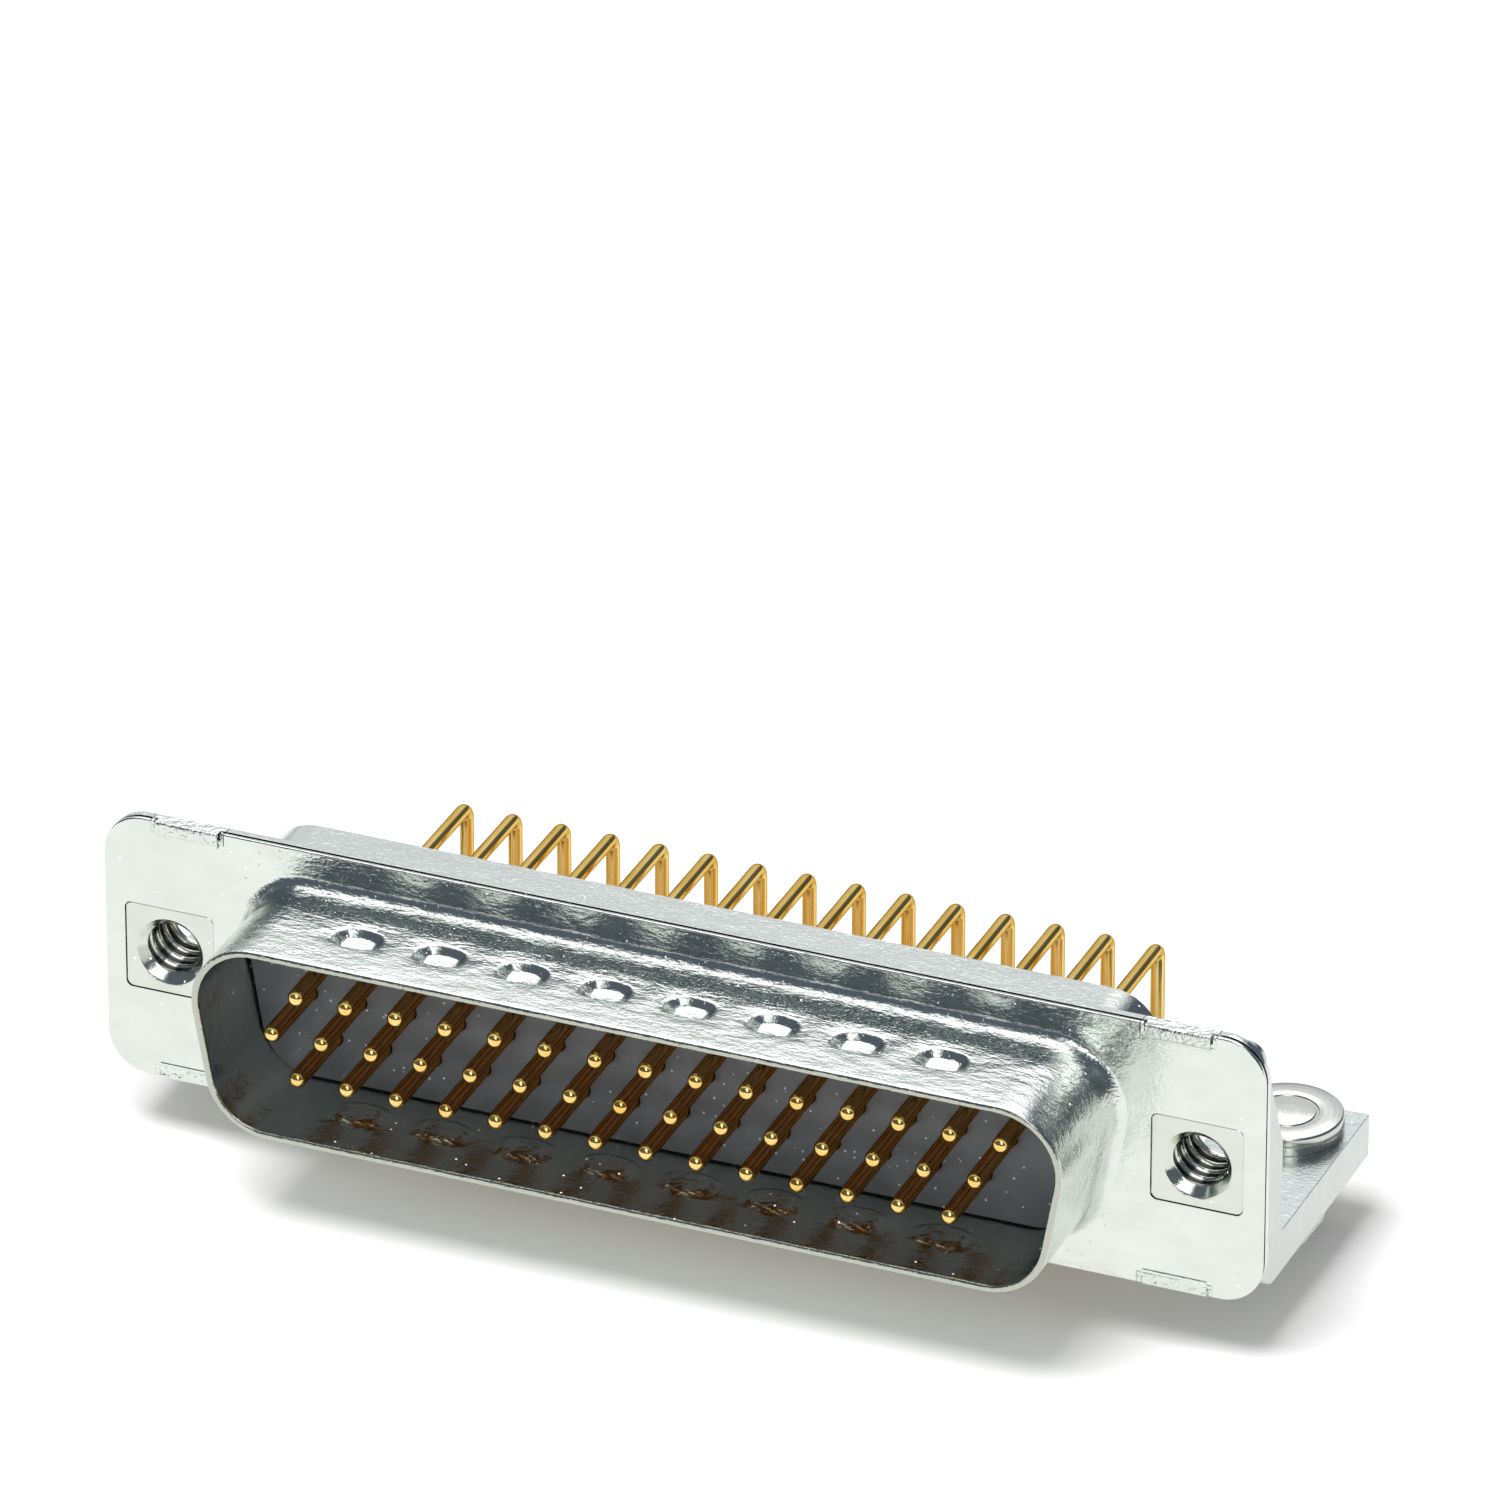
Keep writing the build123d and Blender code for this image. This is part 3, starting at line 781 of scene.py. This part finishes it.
def close_nose(bm):
    """The nose grows to a fine line from the tube, and its face stands a little further back."""
    front_y = min(v.co.y for v in bm.verts) + 0.01 * MM
    outline = set()
    for vert in bm.verts:
        x, z = vert.co.x / MM, vert.co.z / MM
        from_contact = min(math.hypot(x - site[0], z - site[1]) for site in sites)
        if vert.co.y <= front_y and from_contact > CONTACT_ZONE:
            outline.add((round(x, 2), round(z, 2)))
    wide = (MOUTH_WIDTH / 2 - NOSE_GAP) / (MOUTH_WIDTH / 2 - CAD_NOSE_GAP)
    high = (MOUTH_HEIGHT / 2 - NOSE_GAP) / (MOUTH_HEIGHT / 2 - CAD_NOSE_GAP)
    for vert in bm.verts:
        x, z = vert.co.x / MM, vert.co.z / MM
        if vert.co.y < (FACE + SHEET + 0.01) * MM and (round(x, 2), round(z, 2)) in outline:
            vert.co.x *= wide
            vert.co.z = (AXIS_HEIGHT + (z - AXIS_HEIGHT) * high) * MM
        if vert.co.y < front_y:
            vert.co.y += NOSE_BACK * MM


def cut_wells(obj):
    """Shallow round recesses in the face, one round each contact."""
    verts, faces = [], []
    for x, z, tail_y in sites:
        faces += ring_faces(len(verts), len(WELL), WELL_POINTS, "closed")
        for depth, radius in WELL:
            verts += [Vector(point) * MM
                      for point in round_ring(x, NOSE + depth, z, radius, WELL_POINTS)]
    mesh = bpy.data.meshes.new("well_cutter")
    mesh.from_pydata(verts, [], faces)
    cutter = add_object("well_cutter", mesh)
    cut = obj.modifiers.new("wells", "BOOLEAN")
    cut.operation = "DIFFERENCE"
    cut.solver = "EXACT"
    cut.object = cutter
    apply_modifiers(obj)
    bpy.data.objects.remove(cutter)
    bpy.data.meshes.remove(mesh)


nose_piece = softened("front_insulator", "mouth_insulator", 0.05, shape=close_nose)
cut_wells(nose_piece)
set_sharp(nose_piece, 30)
dress(nose_piece, black_plastic, "front_insulator")
base_piece = softened("rear_insulator", "back_insulator", 0.04)
dress(base_piece, black_plastic, "rear_insulator")


# Brackets

for hand in ("left", "right"):
    bracket = softened(f"bracket_{hand}", f"foot_{hand}", 0.1, 3)
    dress(bracket, bracket_steel, f"bracket_{hand}")


# Floor, light and camera

def make_floor():
    """White floor under the pegs, which metal mirrors as a pale grey surface."""
    half, low = 3.0, (PEG_END - 0.02) * MM
    mesh = bpy.data.meshes.new("floor")
    corners = [(-half, -half, low), (half, -half, low), (half, half, low), (-half, half, low)]
    mesh.from_pydata(corners, [], [(0, 1, 2, 3)])
    floor = add_object("floor", mesh)
    material, tree, shader = new_material("floor_white")[:3]
    shader.inputs["Base Color"].default_value = rgba(grey(0.96))
    shader.inputs["Roughness"].default_value = 1.0
    shader.inputs["Specular IOR Level"].default_value = 0.0
    out = shader.outputs["BSDF"].links[0].to_socket
    rays = tree.nodes.new("ShaderNodeLightPath")
    bright = tree.nodes.new("ShaderNodeEmission")
    bright.inputs["Strength"].default_value = 0.93
    either = calc(tree, "MAXIMUM", rays.outputs["Is Glossy Ray"], rays.outputs["Is Transmission Ray"])
    total = mixed_shader(tree, calc(tree, "MULTIPLY", either, 0.6), shader.outputs["BSDF"],
                         bright.outputs["Emission"])
    tree.links.new(total, out)
    mesh.materials.append(material)


PANELS = (
    # direction, angle fully lit, angle unlit, strength in reflections, strength as light
    ((-0.14, 0.32, 0.92), 24.0, 38.0, 2.1, 0.0),
    ((-0.36, 0.78, 0.50), 22.0, 38.0, 0.82, 0.0),
    ((0.336, -0.81, 0.481), 7.0, 10.0, 4.0, 0.0),
    ((0.2, -0.6, 0.77), 12.0, 20.0, 1.9, 0.0),
    ((-0.10, -0.6, 0.75), 35.0, 60.0, 0.0, 1.0),
)


def plain_background(tree, color):
    node = tree.nodes.new("ShaderNodeBackground")
    node.inputs["Color"].default_value = rgba(color)
    return node.outputs["Background"]


def panel_background(tree, panel, direction, mirrored_ray):
    """Soft round panel of light in one direction of the world."""
    middle, full, edge, mirrored, lighting = panel
    dot = tree.nodes.new("ShaderNodeVectorMath")
    dot.operation = "DOT_PRODUCT"
    dot.inputs[1].default_value = Vector(middle).normalized()
    tree.links.new(direction, dot.inputs[0])
    fade = ease(tree, dot.outputs["Value"], math.cos(math.radians(edge)),
                math.cos(math.radians(full)))
    level = between(tree, mirrored_ray, lighting, mirrored)
    node = tree.nodes.new("ShaderNodeBackground")
    node.inputs["Color"].default_value = rgba(grey(0.8))
    tree.links.new(calc(tree, "MULTIPLY", fade, level), node.inputs["Strength"])
    return node.outputs["Background"]


def make_world():
    """Studio seen by direction: a dim room with soft panels, and white to the camera."""
    world = bpy.data.worlds.new("studio")
    bpy.context.scene.world = world
    world.use_nodes = True
    tree = world.node_tree
    tree.nodes.clear()
    out = tree.nodes.new("ShaderNodeOutputWorld")
    coords = tree.nodes.new("ShaderNodeTexCoord")
    rays = tree.nodes.new("ShaderNodeLightPath")
    mirrored_ray = rays.outputs["Is Glossy Ray"]
    total = mixed_shader(tree, mirrored_ray, plain_background(tree, grey(0.2)),
                         plain_background(tree, (0.10, 0.12, 0.15)))
    for panel in PANELS:
        both = tree.nodes.new("ShaderNodeAddShader")
        tree.links.new(total, both.inputs[0])
        tree.links.new(panel_background(tree, panel, coords.outputs["Generated"], mirrored_ray),
                       both.inputs[1])
        total = both.outputs["Shader"]
    seen = mixed_shader(tree, rays.outputs["Is Camera Ray"], total,
                        plain_background(tree, grey(1.0)))
    tree.links.new(seen, out.inputs["Surface"])


def make_lamp():
    """Soft box above and before the part, which metal doesn't mirror."""
    place, target = Vector((-0.02, -0.2, 0.42)), Vector((0.0, 0.0, 0.0))
    data = bpy.data.lights.new("top_box", "AREA")
    data.shape = "RECTANGLE"
    data.size, data.size_y = 0.24, 0.18
    data.energy = 2.1
    lamp = add_object("top_box", data)
    lamp.location = place
    lamp.visible_glossy = False
    lamp.rotation_mode = "QUATERNION"
    lamp.rotation_quaternion = (target - place).to_track_quat("-Z", "Y")


def make_camera():
    place = Vector((213.434, -516.862, 322.010)) * MM
    target = Vector((-0.896, -0.587, 15.425)) * MM
    data = bpy.data.cameras.new("photo_camera")
    data.sensor_fit = "HORIZONTAL"
    data.sensor_width = 36.0
    data.lens = 360.0
    data.clip_start, data.clip_end = 0.05, 10.0
    camera = add_object("photo_camera", data)
    camera.location = place
    camera.rotation_mode = "QUATERNION"
    camera.rotation_quaternion = (target - place).to_track_quat("-Z", "Y")
    bpy.context.scene.camera = camera


make_floor()
make_world()
make_lamp()
make_camera()

scene = bpy.context.scene
scene.view_settings.view_transform = "Standard"
